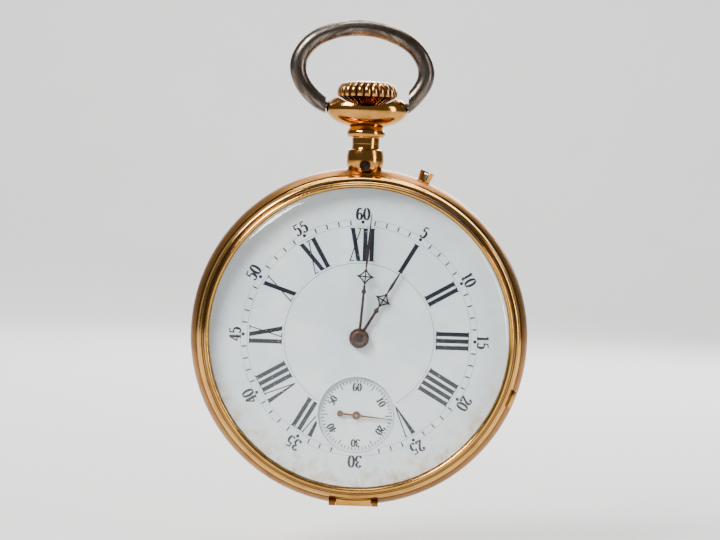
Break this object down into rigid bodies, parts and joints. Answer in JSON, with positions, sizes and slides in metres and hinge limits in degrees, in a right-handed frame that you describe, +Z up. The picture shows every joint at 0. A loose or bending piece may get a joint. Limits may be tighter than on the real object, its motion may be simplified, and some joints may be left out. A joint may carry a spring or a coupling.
{
  "type": "open face pocket watch",
  "caption": "Open-faced mechanical pocket watch with a domed crystal, enamel dial, sunk seconds dial, ribbed crown, swinging bow, hinged bezel and covers, and its full movement.",
  "frame": {"origin": "highest point inside the bow, where a hook or chain carries the watch", "axes": "+Z up through the pendant, dial facing -Y, 3 o'clock at +X"},
  "size_m": [0.05, 0.0135, 0.0719],
  "materials": {
    "rose_gold": "polished rose gold, lightly rubbed",
    "old_silver": "oxidised silver, dark patina",
    "crystal_glass": "clear mineral glass, domed, bevelled rim",
    "enamel": "white fired enamel with black printing, stained at the lower rim",
    "blued_hands": "oxidised openwork hands, rusty brown",
    "gilt_brass": "grained gilt brass",
    "wheel_brass": "polished brass",
    "steel": "polished hardened steel",
    "blued_steel": "heat-blued steel",
    "ruby": "pink-red synthetic ruby",
    "copper": "bare copper"
  },
  "bodies": {
    "bow": {"bow": "old_silver"},
    "case": {"case_middle": "rose_gold", "pendant": "rose_gold", "pendant_screw": "steel", "set_guard": "rose_gold", "bezel_hinge_pin": "steel", "rear_hinge_pin": "steel", "case_screws": "blued_steel", "dial": "enamel", "seconds_subdial": "enamel", "dial_feet": "copper", "main_plate": "gilt_brass", "barrel_bridge": "gilt_brass", "train_bridge": "gilt_brass", "balance_cock": "gilt_brass", "pallet_cock": "gilt_brass", "pallet_cock_screw": "blued_steel", "bridge_screws": "blued_steel", "jewels": "ruby", "hairspring": "blued_steel", "hairspring_stud": "steel", "click_spring": "steel", "yoke_spring": "steel", "set_button_spring": "steel", "crown_wheel_screw": "blued_steel"},
    "bezel": {"bezel": "rose_gold", "crystal": "crystal_glass"},
    "cuvette": {"cuvette": "rose_gold"},
    "back_cover": {"back_cover": "rose_gold"},
    "centre_arbor": {"centre_wheel": "wheel_brass"},
    "cannon": {"cannon_pinion": "steel", "minute_hand": "blued_hands"},
    "hour_work": {"hour_wheel": "wheel_brass", "hour_hand": "blued_hands"},
    "minute_wheel": {"minute_wheel": "steel"},
    "setting_wheel": {"setting_wheel": "steel"},
    "barrel": {"barrel_drum": "wheel_brass", "barrel_cover": "wheel_brass", "mainspring": "blued_steel"},
    "third_wheel": {"third_wheel": "wheel_brass"},
    "fourth_arbor": {"fourth_wheel": "wheel_brass", "seconds_hand": "blued_hands"},
    "escape_wheel": {"escape_wheel": "steel"},
    "pallet_fork": {"pallet_fork": "steel", "pallet_stones": "ruby"},
    "balance": {"balance_wheel": "wheel_brass", "balance_screws": "wheel_brass", "balance_staff": "steel"},
    "stem": {"winding_stem": "steel", "crown": "rose_gold"},
    "winding_pinion": {"winding_pinion": "steel"},
    "clutch": {"clutch": "steel"},
    "crown_wheel": {"crown_wheel": "steel"},
    "barrel_arbor": {"barrel_arbor": "steel", "ratchet_wheel": "steel", "ratchet_screw": "blued_steel"},
    "click": {"click": "steel"},
    "yoke": {"yoke": "steel"},
    "set_button": {"set_button": "steel"},
    "regulator": {"regulator": "steel"}
  },
  "joints": [
    {"name": "bow_swing", "type": "hinge", "parent": "bow", "child": "case", "pos_m": [0, 0, -0.01022], "axis": [1, 0, 0], "range_deg": [-90, 90]},
    {"name": "bezel_hinge", "type": "hinge", "parent": "case", "child": "bezel", "pos_m": [0, -0.0024, -0.06888], "axis": [1, 0, 0], "range_deg": [0, 90]},
    {"name": "cuvette_hinge", "type": "hinge", "parent": "case", "child": "cuvette", "pos_m": [0, 0.0024, -0.06888], "axis": [-1, 0, 0], "range_deg": [0, 70]},
    {"name": "back_cover_hinge", "type": "hinge", "parent": "cuvette", "child": "back_cover", "pos_m": [0, 0.0024, -0.06888], "axis": [-1, 0, 0], "range_deg": [0, 90]},
    {"name": "running", "type": "hinge", "parent": "case", "child": "fourth_arbor", "pos_m": [0, 0, -0.05582], "axis": [0, 1, 0], "continuous": true},
    {"name": "escape_turn", "type": "hinge", "parent": "case", "child": "escape_wheel", "pos_m": [0.0046, 0, -0.05842], "axis": [0, 1, 0], "continuous": true},
    {"name": "third_turn", "type": "hinge", "parent": "case", "child": "third_wheel", "pos_m": [-0.00226, 0, -0.05078], "axis": [0, 1, 0], "continuous": true},
    {"name": "centre_turn", "type": "hinge", "parent": "case", "child": "centre_arbor", "pos_m": [0, 0, -0.04442], "axis": [0, 1, 0], "continuous": true},
    {"name": "barrel_turn", "type": "hinge", "parent": "case", "child": "barrel", "pos_m": [-0.0064, 0, -0.03809], "axis": [0, 1, 0], "continuous": true},
    {"name": "hand_setting", "type": "hinge", "parent": "case", "child": "cannon", "pos_m": [0, 0, -0.04442], "axis": [0, 1, 0], "continuous": true},
    {"name": "hour_turn", "type": "hinge", "parent": "case", "child": "hour_work", "pos_m": [0, 0, -0.04442], "axis": [0, 1, 0], "continuous": true},
    {"name": "minute_wheel_turn", "type": "hinge", "parent": "case", "child": "minute_wheel", "pos_m": [0.00124, 0, -0.04029], "axis": [0, 1, 0], "continuous": true},
    {"name": "setting_wheel_turn", "type": "hinge", "parent": "case", "child": "setting_wheel", "pos_m": [0, 0, -0.03392], "axis": [0, 1, 0], "continuous": true},
    {"name": "balance_swing", "type": "hinge", "parent": "case", "child": "balance", "pos_m": [0.01033, 0, -0.05441], "axis": [0, 1, 0], "range_deg": [-270, 270], "deforming": ["hairspring"]},
    {"name": "fork_rock", "type": "hinge", "parent": "case", "child": "pallet_fork", "pos_m": [0.00747, 0, -0.05641], "axis": [0, 1, 0], "range_deg": [-5, 5]},
    {"name": "winding", "type": "hinge", "parent": "case", "child": "stem", "pos_m": [0, 0, -0.01022], "axis": [0, 0, 1], "continuous": true},
    {"name": "winding_pinion_turn", "type": "hinge", "parent": "case", "child": "winding_pinion", "pos_m": [0, 0, -0.02782], "axis": [0, 0, 1], "continuous": true},
    {"name": "crown_wheel_turn", "type": "hinge", "parent": "case", "child": "crown_wheel", "pos_m": [0, 0, -0.0303], "axis": [0, 1, 0], "continuous": true},
    {"name": "ratchet_turn", "type": "hinge", "parent": "case", "child": "barrel_arbor", "pos_m": [-0.0064, 0, -0.03809], "axis": [0, 1, 0], "continuous": true},
    {"name": "set_push", "type": "slide", "parent": "case", "child": "set_button", "axis": [-0.3518, 0, -0.9361], "range_m": [0, 0.0006], "stiffness_N_per_m": 300, "deforming": ["set_button_spring", "yoke_spring"]},
    {"name": "yoke_rock", "type": "hinge", "parent": "case", "child": "yoke", "pos_m": [0.0115, 0, -0.03122], "axis": [0, 1, 0], "range_deg": [-6.05, 0.2]},
    {"name": "clutch_slide", "type": "slide", "parent": "stem", "child": "clutch", "axis": [0, 0, 1], "range_m": [-0.00102, 0.00002]},
    {"name": "click_lift", "type": "hinge", "parent": "case", "child": "click", "pos_m": [-0.014, 0, -0.03213], "axis": [0, -1, 0], "range_deg": [0, 10], "stiffness_Nm_per_rad": 0.0005, "deforming": ["click_spring"]},
    {"name": "regulator_index", "type": "hinge", "parent": "case", "child": "regulator", "pos_m": [0.01033, 0, -0.05441], "axis": [0, 1, 0], "range_deg": [-20, 20]}
  ],
  "couplings": [
    {"joint": "escape_turn", "follows": "running", "ratio": -10},
    {"joint": "third_turn", "follows": "running", "ratio": -0.13333},
    {"joint": "centre_turn", "follows": "running", "ratio": 0.016667},
    {"joint": "barrel_turn", "follows": "running", "ratio": -0.0020833},
    {"joint": "hour_turn", "follows": "hand_setting", "ratio": 0.083333},
    {"joint": "minute_wheel_turn", "follows": "hand_setting", "ratio": -0.33333},
    {"joint": "setting_wheel_turn", "follows": "hand_setting", "ratio": 0.33333},
    {"joint": "fork_rock", "follows": "balance_swing", "ratio": -0.018519},
    {"joint": "winding_pinion_turn", "follows": "winding", "ratio": 1},
    {"joint": "crown_wheel_turn", "follows": "winding", "ratio": -0.83333},
    {"joint": "ratchet_turn", "follows": "winding", "ratio": 0.47101},
    {"joint": "yoke_rock", "follows": "set_push", "rad_per_m": -170.17},
    {"joint": "clutch_slide", "follows": "set_push", "ratio": -1.6667}
  ]
}
